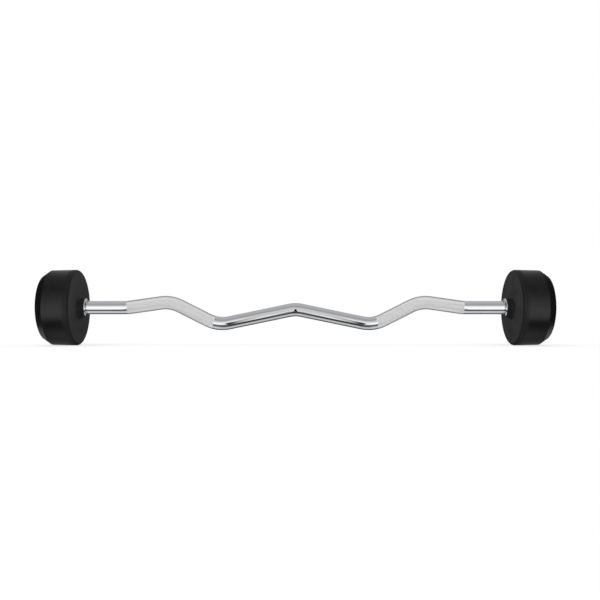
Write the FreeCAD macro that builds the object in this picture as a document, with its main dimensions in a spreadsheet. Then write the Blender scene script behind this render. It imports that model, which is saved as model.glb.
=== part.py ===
import FreeCAD, Part
import math
import os

import Sketcher

# Fixed curl barbell: a chromed bar bent into a W, with a rubber-covered iron head at each end.
# Millimetres. The origin is the barbell's middle, on the line through both heads.
# +X runs along the bar to the right-hand head, +Z is up and the bends lie in the XZ plane.

# Driving sizes
SIZES = {
    # Bar: its thickness and the length that lies between the two heads
    "bar_diameter": 28.0,
    "clear_length": 914.0,
    # Corners of the bent centreline: runs along X from one corner to the next, heights from the axis
    "centre_drop": 4.6,
    "valley_run": 164.4,
    "valley_drop": 37.2,
    "peak_run": 99.3,
    "peak_rise": 13.0,
    "foot_run": 90.6,
    "bend_radius": 70.0,
    "foot_bend_radius": 140.0,
    # Knurled grip bands: how far past the valley's corner they start and past the foot's they end
    "knurl_start_run": 9.5,
    "knurl_end_run": 1.1,
    "knurl_rise": 0.25,
    # Head: its rubber cover
    "head_diameter": 160.0,
    "head_width": 70.8,
    "draft_drop": 1.25,
    "bevel_length": 16.1,
    "bevel_drop": 11.25,
    "cover_wall": 5.0,
    "inner_edge_round": 6.0,
    "shoulder_round": 1.2,
    "rim_round": 2.4,
    # Boss around the bar on the head's inner side
    "boss_length": 11.6,
    "boss_wall": 3.0,
    "boss_flare": 4.0,
    "boss_root_round": 1.5,
    "boss_tip_round": 0.8,
    # Iron core
    "hub_wall": 3.0,
    "core_edge_round": 2.0,
    "recess_side_room": 13.0,
    "recess_head_room": 3.0,
    # Collar ring
    "collar_length": 5.8,
    "collar_wall": 5.7,
    "collar_round": 2.5,
    # Drive key
    "key_width": 6.0,
    "key_height": 6.0,
    "key_length": 28.0,
    "key_seat_depth": 3.5,
    "key_top_room": 0.3,
    "key_chamfer": 0.4,
    # End fixings
    "bolt_diameter": 16.0,
    "bolt_length": 35.0,
    "bolt_head_side": 4.0,
    "bolt_head_height": 16.0,
    "bolt_socket_width": 14.0,
    "bolt_socket_depth": 8.0,
    "bolt_chamfer": 1.5,
    "bolt_tip_room": 5.0,
    "washer_thickness": 4.0,
    "washer_side_room": 3.0,
    "lock_thickness": 3.5,
    "lock_side": 5.0,
    "lock_slit": 2.5,
    # End plug
    "plug_lip": 2.0,
    "plug_sink": 0.5,
    "plug_skirt_length": 9.0,
    "plug_skirt_wall": 3.0,
    "plug_edge_round": 1.0,
    # Fits
    "fit_clearance": 0.05,
    "bolt_clearance": 0.5,
    "bond_gap": 0.1,
    "bar_end_room": 0.5,
    "bar_end_chamfer": 1.0,
    # One overrun serves every cut that passes right through
    "cut_overrun": 2.0,
}

SHEET_NAME = "dims"
HALF_TURN = 180.0
FULL_TURN = 360.0
HEX_SIDES = 6
CUBIC_MM_PER_CUBIC_CM = 1000.0
# A found ring may differ from the asked one by this share of its radius
MATCH_SHARE = 0.0005

Vector = FreeCAD.Vector


class Length:
    """A length, kept as a number and as the expression that gives it on the sheet."""

    def __init__(self, value, text):
        self.value = value
        self.text = text

    def __add__(self, other):
        return Length(self.value + other.value, f"({self.text} + {other.text})")

    def __sub__(self, other):
        return Length(self.value - other.value, f"({self.text} - {other.text})")

    def __mul__(self, share):
        return Length(self.value * share, f"({self.text} * {share})")

    def __truediv__(self, share):
        return Length(self.value / share, f"({self.text} / {share})")

    def __neg__(self):
        return Length(-self.value, f"(0 - {self.text})")


ZERO = Length(0.0, "0")


class Sizes:
    """The driving sizes, each read by its name from the sheet."""

    def __init__(self, sheet):
        for name in SIZES:
            setattr(self, name, Length(float(sheet.get(name)), f"{SHEET_NAME}.{name}"))


def make_sheet(document):
    """Put every driving size on the sheet under its own alias."""
    sheet = document.addObject("Spreadsheet::Sheet", SHEET_NAME)
    for row, (name, value) in enumerate(SIZES.items(), start=1):
        sheet.set(f"A{row}", name)
        sheet.set(f"B{row}", str(value))
        sheet.setAlias(f"B{row}", name)
    document.recompute()
    return sheet


# Tools for bodies and sketches

def new_body(document, label):
    """Add an empty body that carries a sub-part's label."""
    body = document.addObject("PartDesign::Body", label)
    body.Label = label
    return body


def origin_plane(body, role):
    """Find one of a body's own origin planes."""
    return next(item for item in body.Origin.OriginFeatures if item.Role == role)


def new_sketch(body, name, plane, offset=ZERO):
    """Add a sketch on one of the body's origin planes, moved off it by an offset."""
    sketch = body.newObject("Sketcher::SketchObject", name)
    sketch.AttachmentSupport = (origin_plane(body, plane), "")
    sketch.MapMode = "FlatFace"
    if offset is not ZERO:
        sketch.setExpression("AttachmentOffset.Base.z", offset.text)
    return sketch


def bind(sketch, kind, places, length):
    """Add a dimension to a sketch and tie it to the sheet."""
    index = sketch.addConstraint(Sketcher.Constraint(kind, *places, length.value))
    sketch.setExpression(f"Constraints[{index}]", length.text)


def pin_point(sketch, geometry, end, across, up):
    """Hold one point of a sketch at its place from the sketch's origin."""
    if across is ZERO:
        sketch.addConstraint(Sketcher.Constraint("PointOnObject", geometry, end, -2))
    else:
        bind(sketch, "DistanceX", (-1, 1, geometry, end), across)
    if up is ZERO:
        sketch.addConstraint(Sketcher.Constraint("PointOnObject", geometry, end, -1))
    else:
        bind(sketch, "DistanceY", (-1, 1, geometry, end), up)


def draw_outline(sketch, points):
    """Draw a closed outline of straight lines, with every corner held by its own sizes."""
    corners = [Vector(across.value, up.value, 0) for across, up in points]
    lines = []
    for start, end in zip(corners, corners[1:] + corners[:1]):
        lines.append(sketch.addGeometry(Part.LineSegment(start, end), False))
    for line, following in zip(lines, lines[1:] + lines[:1]):
        sketch.addConstraint(Sketcher.Constraint("Coincident", line, 2, following, 1))
    for line, (across, up) in zip(lines, points):
        pin_point(sketch, line, 1, across, up)


def draw_circle(sketch, radius, across=ZERO, up=ZERO):
    """Draw a circle held by its centre and its radius."""
    centre = Vector(across.value, up.value, 0)
    circle = sketch.addGeometry(Part.Circle(centre, Vector(0, 0, 1), radius.value), False)
    bind(sketch, "Radius", (circle,), radius)
    pin_point(sketch, circle, 3, across, up)


def revolve(body, name, points):
    """Turn an outline in the XZ plane about the body's X axis: across is X and up is the radius."""
    sketch = new_sketch(body, f"{name}_outline", "XZ_Plane")
    draw_outline(sketch, points)
    turned = body.newObject("PartDesign::Revolution", name)
    turned.Profile = sketch
    turned.ReferenceAxis = (sketch, ["H_Axis"])
    turned.Angle = FULL_TURN
    body.Document.recompute()
    return turned


def cut_along_x(body, name, sketch, length):
    """Cut a sketch that lies across X into the body, towards the middle of the barbell."""
    before = body.Shape.Volume
    pocket = body.newObject("PartDesign::Pocket", name)
    pocket.Profile = sketch
    pocket.setExpression("Length", length.text)
    body.Document.recompute()
    if pocket.Shape.Volume >= before:
        pocket.Reversed = True
        body.Document.recompute()
    return pocket


def ring_edges(feature, across, radius):
    """Name the round edges about X that lie at one place along X and have one radius."""
    tolerance = radius.value * MATCH_SHARE
    names = []
    for number, edge in enumerate(feature.Shape.Edges, start=1):
        curve = edge.Curve
        if not isinstance(curve, Part.Circle):
            continue
        away = abs(curve.Center.x - across.value)
        wide = abs(curve.Radius - radius.value)
        if max(away, wide, abs(curve.Center.y), abs(curve.Center.z)) < tolerance:
            names.append(f"Edge{number}")
    if not names:
        raise ValueError(f"{feature.Label} has no ring of radius {radius.value} at {across.value}")
    return names


def round_edges(body, name, rings, radius):
    """Fillet the body's rings, each given by its place along X and its radius."""
    return ease_edges(body, "PartDesign::Fillet", "Radius", name, rings, radius)


def bevel_edges(body, name, rings, size):
    """Chamfer the body's rings, each given by its place along X and its radius."""
    return ease_edges(body, "PartDesign::Chamfer", "Size", name, rings, size)


def ease_edges(body, kind, size_name, name, rings, size):
    """Add one fillet or chamfer over all the rings."""
    base = body.Tip
    found = [edge for ring in rings for edge in ring_edges(base, *ring)]
    eased = body.newObject(kind, name)
    eased.Base = (base, found)
    eased.setExpression(size_name, size.text)
    body.Document.recompute()
    return eased


# Places that several pieces share, measured outward from the head's inner face

class HeadPlaces:
    """Radii and places along X that the pieces of one head have in common."""

    def __init__(self, sizes):
        self.bar_radius = sizes.bar_diameter / 2
        self.bore_radius = self.bar_radius + sizes.fit_clearance
        self.hub_radius = self.bar_radius + sizes.hub_wall
        self.boss_end = -sizes.boss_length
        self.head_radius = sizes.head_diameter / 2
        self.shoulder_radius = self.head_radius - sizes.draft_drop
        self.rim_radius = self.shoulder_radius - sizes.bevel_drop
        self.bevel_start = sizes.head_width - sizes.bevel_length
        self.core_outer = sizes.head_width - sizes.cover_wall
        self.bolt_radius = sizes.bolt_diameter / 2
        self.bolt_head_radius = self.bolt_radius + sizes.bolt_head_side
        self.recess_radius = self.bolt_head_radius + sizes.recess_side_room
        fixings = sizes.washer_thickness + sizes.lock_thickness + sizes.bolt_head_height
        self.recess_floor = self.core_outer - fixings - sizes.recess_head_room
        self.washer_top = self.recess_floor + sizes.washer_thickness
        self.lock_top = self.washer_top + sizes.lock_thickness
        self.plug_radius = self.recess_radius + sizes.plug_lip
        self.bar_end = self.recess_floor - sizes.bar_end_room
        self.key_floor = self.bar_radius - sizes.key_seat_depth
        self.key_top = self.key_floor + sizes.key_height


# Bar

def arc_on_corner(before, corner, after, radius):
    """Find the centre and the two touching points of an arc that rounds a corner."""
    back = (before - corner).normalize()
    ahead = (after - corner).normalize()
    half_angle = back.getAngle(ahead) / 2
    setback = radius / math.tan(half_angle)
    centre = corner + (back + ahead).normalize() * (radius / math.sin(half_angle))
    return centre, corner + back * setback, corner + ahead * setback


def add_arc(sketch, centre, start, end, radius):
    """Add an arc that runs the short way from start to end; return it and its start and end numbers."""
    circle = Part.Circle(centre, Vector(0, 0, 1), radius)
    turn_start = math.atan2(start.y - centre.y, start.x - centre.x)
    turn_end = math.atan2(end.y - centre.y, end.x - centre.x)
    if (start - centre).cross(end - centre).z > 0:
        return sketch.addGeometry(Part.ArcOfCircle(circle, turn_start, turn_end), False), 1, 2
    return sketch.addGeometry(Part.ArcOfCircle(circle, turn_end, turn_start), False), 2, 1


def add_line(sketch, start, end):
    """Add a straight run."""
    return sketch.addGeometry(Part.LineSegment(start, end), False)


def point_on_circle(centre, radius, across, near):
    """Find the point of a circle at one place across, on the side of a point nearby."""
    rise = math.sqrt(radius ** 2 - (across - centre.x) ** 2)
    return Vector(across, centre.y + math.copysign(rise, near.y - centre.y), 0)


class Centreline:
    """The right half of the bar's centreline: straight runs joined by tangent arcs."""

    def __init__(self, sizes, places):
        valley = sizes.valley_run
        peak = valley + sizes.peak_run
        foot = peak + sizes.foot_run
        self.corners = [
            (valley, -sizes.valley_drop),
            (peak, sizes.peak_rise),
            (foot, ZERO),
            (sizes.clear_length / 2 + places.bar_end, ZERO),
        ]
        self.band_start = valley + sizes.knurl_start_run
        self.band_end = foot + sizes.knurl_end_run
        self.radii = [sizes.bend_radius, sizes.bend_radius, sizes.foot_bend_radius]
        self.crown_radius = sizes.bend_radius
        self.crown_drop = sizes.centre_drop
        self.crown_centre = Vector(0, -self.crown_drop.value - self.crown_radius.value, 0)
        self.points = [Vector(across.value, up.value, 0) for across, up in self.corners]
        self.crown_touch = self.find_crown_touch()
        run = self.points[0] - self.crown_touch
        self.crown_corner = self.crown_touch - run * (self.crown_touch.x / run.x)
        before = [self.crown_corner] + self.points[:-2]
        self.arcs = []
        for back, corner, ahead, radius in zip(before, self.points, self.points[1:], self.radii):
            self.arcs.append(arc_on_corner(back, corner, ahead, radius.value))

    def find_crown_touch(self):
        """Find where the run from the valley's corner touches the arc at the middle."""
        away = self.points[0] - self.crown_centre
        turn = math.atan2(away.y, away.x) + math.acos(self.crown_radius.value / away.Length)
        return self.crown_centre + Vector(math.cos(turn), math.sin(turn), 0) * self.crown_radius.value

    def draw_corners(self, sketch):
        """Draw the straight lines between the corners as construction geometry."""
        guides = []
        for start, end in zip([self.crown_corner] + self.points, self.points):
            guides.append(sketch.addGeometry(Part.LineSegment(start, end), True))
        for guide, following in zip(guides, guides[1:]):
            sketch.addConstraint(Sketcher.Constraint("Coincident", guide, 2, following, 1))
        sketch.addConstraint(Sketcher.Constraint("PointOnObject", guides[0], 1, -2))
        for guide, (across, up) in zip(guides, self.corners):
            pin_point(sketch, guide, 2, across, up)
        return guides

    def draw_arc(self, sketch, index, start, end):
        """Draw one bend between two of its points and tie its radius to the sheet."""
        centre = self.arcs[index][0]
        arc = add_arc(sketch, centre, start, end, self.radii[index].value)
        bind(sketch, "Radius", (arc[0],), self.radii[index])
        return arc

    def join(self, sketch, guide, tail, head, ends):
        """Draw the straight run between two bends, along its guide and tangent to both."""
        run = add_line(sketch, *ends)
        sketch.addConstraint(Sketcher.Constraint("Tangent", tail[0], tail[2], run, 1))
        sketch.addConstraint(Sketcher.Constraint("Tangent", run, 2, head[0], head[1]))
        sketch.addConstraint(Sketcher.Constraint("PointOnObject", run, 1, guide))
        sketch.addConstraint(Sketcher.Constraint("PointOnObject", run, 2, guide))

    def draw_half(self, sketch):
        """Draw the whole half, from the crown at the middle to the bar's end."""
        guides = self.draw_corners(sketch)
        top = Vector(0, -self.crown_drop.value, 0)
        crown = add_arc(sketch, self.crown_centre, top, self.crown_touch, self.crown_radius.value)
        bind(sketch, "Radius", (crown[0],), self.crown_radius)
        sketch.addConstraint(Sketcher.Constraint("PointOnObject", crown[0], 3, -2))
        pin_point(sketch, crown[0], crown[1], ZERO, -self.crown_drop)
        tail = crown
        leave = self.crown_touch
        for index, (centre, touch, release) in enumerate(self.arcs):
            head = self.draw_arc(sketch, index, touch, release)
            self.join(sketch, guides[index], tail, head, (leave, touch))
            tail = head
            leave = release
        last = add_line(sketch, leave, self.points[-1])
        sketch.addConstraint(Sketcher.Constraint("Tangent", tail[0], tail[2], last, 1))
        sketch.addConstraint(Sketcher.Constraint("PointOnObject", last, 1, guides[-1]))
        sketch.addConstraint(Sketcher.Constraint("Coincident", last, 2, guides[-1], 2))

    def draw_band(self, sketch):
        """Draw only the stretch of the knurled band, from its start in the valley to its end in the foot."""
        guides = self.draw_corners(sketch)
        crown = sketch.addGeometry(
            Part.Circle(self.crown_centre, Vector(0, 0, 1), self.crown_radius.value), True)
        bind(sketch, "Radius", (crown,), self.crown_radius)
        pin_point(sketch, crown, 3, ZERO, -(self.crown_drop + self.crown_radius))
        sketch.addConstraint(Sketcher.Constraint("Tangent", guides[0], crown))
        first, second, third = self.arcs
        start = point_on_circle(first[0], self.radii[0].value, self.band_start.value, first[2])
        end = point_on_circle(third[0], self.radii[2].value, self.band_end.value, third[1])
        valley = self.draw_arc(sketch, 0, start, first[2])
        sketch.addConstraint(Sketcher.Constraint("Tangent", valley[0], guides[0]))
        bind(sketch, "DistanceX", (-1, 1, valley[0], valley[1]), self.band_start)
        peak = self.draw_arc(sketch, 1, second[1], second[2])
        self.join(sketch, guides[1], valley, peak, (first[2], second[1]))
        foot = self.draw_arc(sketch, 2, third[1], end)
        self.join(sketch, guides[2], peak, foot, (second[2], third[1]))
        sketch.addConstraint(Sketcher.Constraint("Tangent", foot[0], guides[3]))
        bind(sketch, "DistanceX", (-1, 1, foot[0], foot[2]), self.band_end)


def make_curl_bar(document, sizes, places):
    """Sweep half of the bar and its knurled band, machine its end and mirror it."""
    body = new_body(document, "curl_bar")
    centreline = Centreline(sizes, places)

    path = new_sketch(body, "bar_path", "XZ_Plane")
    centreline.draw_half(path)
    section = new_sketch(body, "bar_section", "YZ_Plane")
    draw_circle(section, places.bar_radius, ZERO, -sizes.centre_drop)
    document.recompute()
    rod = body.newObject("PartDesign::AdditivePipe", "rod")
    rod.Profile = section
    rod.Spine = (path, [])
    document.recompute()

    band_path = new_sketch(body, "band_path", "XZ_Plane")
    centreline.draw_band(band_path)
    document.recompute()
    band_section = body.newObject("Sketcher::SketchObject", "band_section")
    band_section.AttachmentSupport = (band_path, "Edge1")
    band_section.MapMode = "NormalToEdge"
    draw_circle(band_section, places.bar_radius + sizes.knurl_rise)
    document.recompute()
    band = body.newObject("PartDesign::AdditivePipe", "knurled_band")
    band.Profile = band_section
    band.Spine = (band_path, [])
    document.recompute()

    end_reach = sizes.clear_length / 2 + places.bar_end
    bevel_edges(body, "end_edge", [(end_reach, places.bar_radius)], sizes.bar_end_chamfer)
    hole_sketch = new_sketch(body, "bolt_hole_circle", "YZ_Plane", end_reach)
    draw_circle(hole_sketch, places.bolt_radius + sizes.fit_clearance)
    hole_depth = sizes.bolt_length - (places.lock_top - places.bar_end) + sizes.bolt_tip_room
    cut_along_x(body, "bolt_hole", hole_sketch, hole_depth)

    half_width = sizes.key_width / 2 + sizes.fit_clearance
    above = places.bar_radius + sizes.cut_overrun
    slot_sketch = new_sketch(body, "key_seat_outline", "YZ_Plane", end_reach)
    draw_outline(slot_sketch, [
        (-half_width, places.key_floor),
        (half_width, places.key_floor),
        (half_width, above),
        (-half_width, above),
    ])
    cut_along_x(body, "key_seat", slot_sketch, sizes.key_length)

    mirrored = body.newObject("PartDesign::Mirrored", "other_half")
    mirrored.TransformMode = "Whole shape"
    mirrored.MirrorPlane = (origin_plane(body, "YZ_Plane"), [""])
    body.Tip = mirrored
    document.recompute()
    return body


# Head pieces: each is drawn with the head's inner face at X = 0 and its outer face towards +X

def make_rubber_cover(document, label, sizes, places):
    """The moulded skin: boss, inner face, drafted side, bevel and outer face around the core's space."""
    body = new_body(document, label)
    gap = sizes.bond_gap
    wall = sizes.cover_wall
    tip_radius = places.hub_radius + sizes.boss_wall
    root_radius = tip_radius + sizes.boss_flare
    plug_hole = places.plug_radius + sizes.fit_clearance
    core_shoulder = places.bevel_start - wall
    revolve(body, "skin", [
        (places.boss_end, places.hub_radius + gap),
        (places.boss_end, tip_radius),
        (ZERO, root_radius),
        (ZERO, places.head_radius),
        (places.bevel_start, places.shoulder_radius),
        (sizes.head_width, places.rim_radius),
        (sizes.head_width, plug_hole),
        (places.core_outer + gap, plug_hole),
        (places.core_outer + gap, places.rim_radius - wall + gap),
        (core_shoulder, places.shoulder_radius - wall + gap),
        (wall - gap, places.head_radius - wall + gap),
        (wall - gap, places.hub_radius + gap),
    ])
    round_edges(body, "inner_edge", [(ZERO, places.head_radius)], sizes.inner_edge_round)
    round_edges(body, "rim", [(sizes.head_width, places.rim_radius)], sizes.rim_round)
    shoulder = [(places.bevel_start, places.shoulder_radius)]
    round_edges(body, "shoulder", shoulder, sizes.shoulder_round)
    round_edges(body, "boss_root", [(ZERO, root_radius)], sizes.boss_root_round)
    round_edges(body, "boss_tip", [(places.boss_end, tip_radius)], sizes.boss_tip_round)
    return body


def make_iron_core(document, label, sizes, places):
    """The cast weight: hub, drum, bore for the bar, recess for the fixings and keyway."""
    body = new_body(document, label)
    wall = sizes.cover_wall
    drum_radius = places.head_radius - wall
    rim_radius = places.rim_radius - wall
    revolve(body, "casting", [
        (places.boss_end, places.bore_radius),
        (places.boss_end, places.hub_radius),
        (wall, places.hub_radius),
        (wall, drum_radius),
        (places.bevel_start - wall, places.shoulder_radius - wall),
        (places.core_outer, rim_radius),
        (places.core_outer, places.recess_radius),
        (places.recess_floor, places.recess_radius),
        (places.recess_floor, places.bore_radius),
    ])
    edges = [(wall, drum_radius), (places.core_outer, rim_radius)]
    round_edges(body, "drum_edges", edges, sizes.core_edge_round)
    half_width = sizes.key_width / 2 + sizes.fit_clearance
    keyway = new_sketch(body, "keyway_outline", "YZ_Plane", places.recess_floor)
    draw_outline(keyway, [
        (-half_width, ZERO),
        (half_width, ZERO),
        (half_width, places.key_top + sizes.key_top_room),
        (-half_width, places.key_top + sizes.key_top_room),
    ])
    cut_along_x(body, "keyway", keyway, sizes.key_length + sizes.bar_end_room)
    return body


def make_collar_ring(document, label, sizes, places):
    """The chromed ring on the bar that the head's hub stands against."""
    body = new_body(document, label)
    outer_radius = places.bar_radius + sizes.collar_wall
    front = places.boss_end - sizes.collar_length
    revolve(body, "ring", [
        (front, places.bore_radius),
        (front, outer_radius),
        (places.boss_end, outer_radius),
        (places.boss_end, places.bore_radius),
    ])
    edges = [(front, outer_radius), (places.boss_end, outer_radius)]
    round_edges(body, "ring_edges", edges, sizes.collar_round)
    return body


def make_drive_key(document, label, sizes, places):
    """The parallel key between the bar and the core."""
    body = new_body(document, label)
    half_width = sizes.key_width / 2
    outline = new_sketch(body, "key_section", "YZ_Plane", places.bar_end)
    draw_outline(outline, [
        (-half_width, places.key_floor),
        (half_width, places.key_floor),
        (half_width, places.key_top),
        (-half_width, places.key_top),
    ])
    bar = body.newObject("PartDesign::Pad", "key_bar")
    bar.Profile = outline
    bar.setExpression("Length", sizes.key_length.text)
    bar.Reversed = True
    document.recompute()
    long_edges = []
    for number, edge in enumerate(bar.Shape.Edges, start=1):
        if edge.Length > max(sizes.key_width.value, sizes.key_height.value):
            long_edges.append(f"Edge{number}")
    eased = body.newObject("PartDesign::Chamfer", "key_edges")
    eased.Base = (bar, long_edges)
    eased.setExpression("Size", sizes.key_chamfer.text)
    document.recompute()
    return body


def make_end_washer(document, label, sizes, places):
    """The thick washer that holds the core on the bar."""
    body = new_body(document, label)
    outer_radius = places.recess_radius - sizes.washer_side_room
    hole_radius = places.bolt_radius + sizes.bolt_clearance
    revolve(body, "disc", [
        (places.recess_floor, hole_radius),
        (places.recess_floor, outer_radius),
        (places.washer_top, outer_radius),
        (places.washer_top, hole_radius),
    ])
    return body


def make_lock_washer(document, label, sizes, places):
    """The split spring washer under the bolt's head."""
    body = new_body(document, label)
    hole_radius = places.bolt_radius + sizes.bolt_clearance / 2
    outer_radius = places.bolt_radius + sizes.lock_side
    revolve(body, "spring_ring", [
        (places.washer_top, hole_radius),
        (places.washer_top, outer_radius),
        (places.lock_top, outer_radius),
        (places.lock_top, hole_radius),
    ])
    half_slit = sizes.lock_slit / 2
    slit = new_sketch(body, "slit_outline", "YZ_Plane", places.lock_top)
    draw_outline(slit, [
        (-half_slit, ZERO),
        (half_slit, ZERO),
        (half_slit, outer_radius + sizes.cut_overrun),
        (-half_slit, outer_radius + sizes.cut_overrun),
    ])
    cut_along_x(body, "slit", slit, sizes.lock_thickness)
    return body


def make_end_bolt(document, label, sizes, places):
    """The socket-head bolt into the end of the bar."""
    body = new_body(document, label)
    tip = places.lock_top - sizes.bolt_length
    top = places.lock_top + sizes.bolt_head_height
    revolve(body, "blank", [
        (tip, ZERO),
        (tip, places.bolt_radius),
        (places.lock_top, places.bolt_radius),
        (places.lock_top, places.bolt_head_radius),
        (top, places.bolt_head_radius),
        (top, ZERO),
    ])
    edges = [(tip, places.bolt_radius), (top, places.bolt_head_radius)]
    bevel_edges(body, "bolt_edges", edges, sizes.bolt_chamfer)
    socket = new_sketch(body, "socket_outline", "YZ_Plane", top)
    draw_hexagon(socket, sizes.bolt_socket_width)
    cut_along_x(body, "socket", socket, sizes.bolt_socket_depth)
    return body


def draw_hexagon(sketch, across_flats):
    """Draw a regular hexagon about the sketch's origin, one pair of flats upright."""
    corner_radius = across_flats / math.sqrt(3)
    ring = sketch.addGeometry(
        Part.Circle(Vector(0, 0, 0), Vector(0, 0, 1), corner_radius.value), True)
    bind(sketch, "Radius", (ring,), corner_radius)
    sketch.addConstraint(Sketcher.Constraint("Coincident", ring, 3, -1, 1))
    corners = []
    for step in range(HEX_SIDES):
        turn = math.pi / HEX_SIDES + step * 2 * math.pi / HEX_SIDES
        corners.append(Vector(math.cos(turn), math.sin(turn), 0) * corner_radius.value)
    sides = []
    for start, end in zip(corners, corners[1:] + corners[:1]):
        sides.append(add_line(sketch, start, end))
    for side, following in zip(sides, sides[1:] + sides[:1]):
        sketch.addConstraint(Sketcher.Constraint("Coincident", side, 2, following, 1))
        sketch.addConstraint(Sketcher.Constraint("PointOnObject", side, 1, ring))
    for side in sides[1:]:
        sketch.addConstraint(Sketcher.Constraint("Equal", sides[0], side))
    sketch.addConstraint(Sketcher.Constraint("Vertical", sides[-1]))


def make_end_plug(document, label, sizes, places):
    """The bare plug that closes the recess, with a skirt that grips inside it."""
    body = new_body(document, label)
    face = sizes.head_width - sizes.plug_sink
    skirt_radius = places.recess_radius - sizes.fit_clearance
    skirt_bore = skirt_radius - sizes.plug_skirt_wall
    skirt_end = places.core_outer - sizes.plug_skirt_length
    revolve(body, "cap", [
        (skirt_end, skirt_bore),
        (skirt_end, skirt_radius),
        (places.core_outer, skirt_radius),
        (places.core_outer, places.plug_radius),
        (face, places.plug_radius),
        (face, ZERO),
        (places.core_outer, ZERO),
        (places.core_outer, skirt_bore),
    ])
    round_edges(body, "face_edge", [(face, places.plug_radius)], sizes.plug_edge_round)
    return body


HEAD_PIECES = {
    "rubber_cover": make_rubber_cover,
    "iron_core": make_iron_core,
    "collar_ring": make_collar_ring,
    "drive_key": make_drive_key,
    "end_washer": make_end_washer,
    "lock_washer": make_lock_washer,
    "end_bolt": make_end_bolt,
    "end_plug": make_end_plug,
}

# Each head's side: its direction along X and its half turn about Z
SIDES = {
    "left": (-1, HALF_TURN),
    "right": (1, 0.0),
}


def place_head_piece(body, direction, turn):
    """Stand a head piece at its end of the bar, facing outward."""
    body.Placement = FreeCAD.Placement(Vector(0, 0, 0), FreeCAD.Rotation(Vector(0, 0, 1), turn))
    body.setExpression("Placement.Base.x", f"{SHEET_NAME}.clear_length * {direction} / 2")


def make_barbell(document):
    """Build every sub-part of the barbell and return them all."""
    sizes = Sizes(make_sheet(document))
    places = HeadPlaces(sizes)
    bodies = [make_curl_bar(document, sizes, places)]
    for side, (direction, turn) in SIDES.items():
        for piece, make_piece in HEAD_PIECES.items():
            body = make_piece(document, f"{side}_{piece}", sizes, places)
            place_head_piece(body, direction, turn)
            bodies.append(body)
    document.recompute()
    return bodies


def check(document, bodies):
    """Stop if any object failed to build or any sub-part isn't one sound solid."""
    for item in document.Objects:
        if "Invalid" in item.State or "Error" in item.State:
            raise RuntimeError(f"{item.Label} did not build: {item.State}")
    for body in bodies:
        shape = body.Shape
        if shape.isNull() or not shape.isValid() or len(shape.Solids) != 1:
            raise RuntimeError(f"{body.Label} is not one sound solid")


def write_steps(bodies):
    """Write each sub-part to its own file, named after it."""
    os.makedirs("parts", exist_ok=True)
    for body in bodies:
        body.Shape.exportStep(os.path.join("parts", f"{body.Label}.step"))
        volume = body.Shape.Volume / CUBIC_MM_PER_CUBIC_CM
        print(f"{body.Label}: {volume:.1f} cm3, {len(body.Shape.Faces)} faces")


barbell = FreeCAD.newDocument("fixed_barbell")
sub_parts = make_barbell(barbell)
check(barbell, sub_parts)
write_steps(sub_parts)
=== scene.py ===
"""The looks of a fixed curl barbell.

A chromed bar bent into a W, with a knurled grip on each side, runs between two rubber-covered heads.
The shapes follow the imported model: metres, origin at the barbell's middle, +X along the bar, +Z up,
and the bends in the XZ plane.
"""

import logging
import math
from collections.abc import Callable, Sequence
from dataclasses import dataclass, field
from enum import Enum

import bmesh
import bpy
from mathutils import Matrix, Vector

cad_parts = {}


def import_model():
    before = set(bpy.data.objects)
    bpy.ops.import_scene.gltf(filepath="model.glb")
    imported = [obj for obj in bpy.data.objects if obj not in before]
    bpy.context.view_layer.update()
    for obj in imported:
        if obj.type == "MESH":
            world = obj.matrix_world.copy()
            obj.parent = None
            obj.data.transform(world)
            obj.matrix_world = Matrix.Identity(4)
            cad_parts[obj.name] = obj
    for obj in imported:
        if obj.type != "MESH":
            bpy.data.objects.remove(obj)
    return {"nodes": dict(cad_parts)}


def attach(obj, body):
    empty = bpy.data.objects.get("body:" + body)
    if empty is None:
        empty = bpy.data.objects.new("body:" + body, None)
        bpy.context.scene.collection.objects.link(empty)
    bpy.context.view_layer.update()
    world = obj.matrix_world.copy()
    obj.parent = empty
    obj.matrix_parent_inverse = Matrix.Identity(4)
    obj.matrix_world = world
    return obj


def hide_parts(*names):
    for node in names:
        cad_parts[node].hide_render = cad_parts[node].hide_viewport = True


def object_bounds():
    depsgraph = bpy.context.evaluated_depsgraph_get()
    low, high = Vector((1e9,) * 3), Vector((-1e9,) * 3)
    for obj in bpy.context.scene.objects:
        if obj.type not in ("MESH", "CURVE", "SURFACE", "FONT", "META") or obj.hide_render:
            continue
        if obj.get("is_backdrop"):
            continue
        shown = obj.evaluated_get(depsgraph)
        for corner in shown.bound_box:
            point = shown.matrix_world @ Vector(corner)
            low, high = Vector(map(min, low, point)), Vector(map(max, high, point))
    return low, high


LOG = logging.getLogger("curl_barbell")

MM = 0.001
BODY = "root"
DEPTH = Vector((0.0, 1.0, 0.0))

Colour = tuple[float, float, float]
Socket = bpy.types.NodeSocket

WHITE: Colour = (1.0, 1.0, 1.0)
BLACK: Colour = (0.0, 0.0, 0.0)


class Side(Enum):
    """The two ends of the barbell, each with its direction along X."""

    LEFT = -1.0
    RIGHT = 1.0

    @property
    def word(self) -> str:
        """The side's name as the pieces carry it."""
        return self.name.lower()


class Slot(Enum):
    """The record's finish names; no piece in this script takes its finish from them."""

    BAR = "bar_chrome"
    RING = "ring_chrome"
    COVER = "rubber_skin"
    PLUG = "plug_rubber"


class Mark(Enum):
    """Measures that a mesh carries for its finish."""

    ALONG = "along"
    GROOVE = "groove"
    OUTWARD = "outward"


# Meshes

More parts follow.
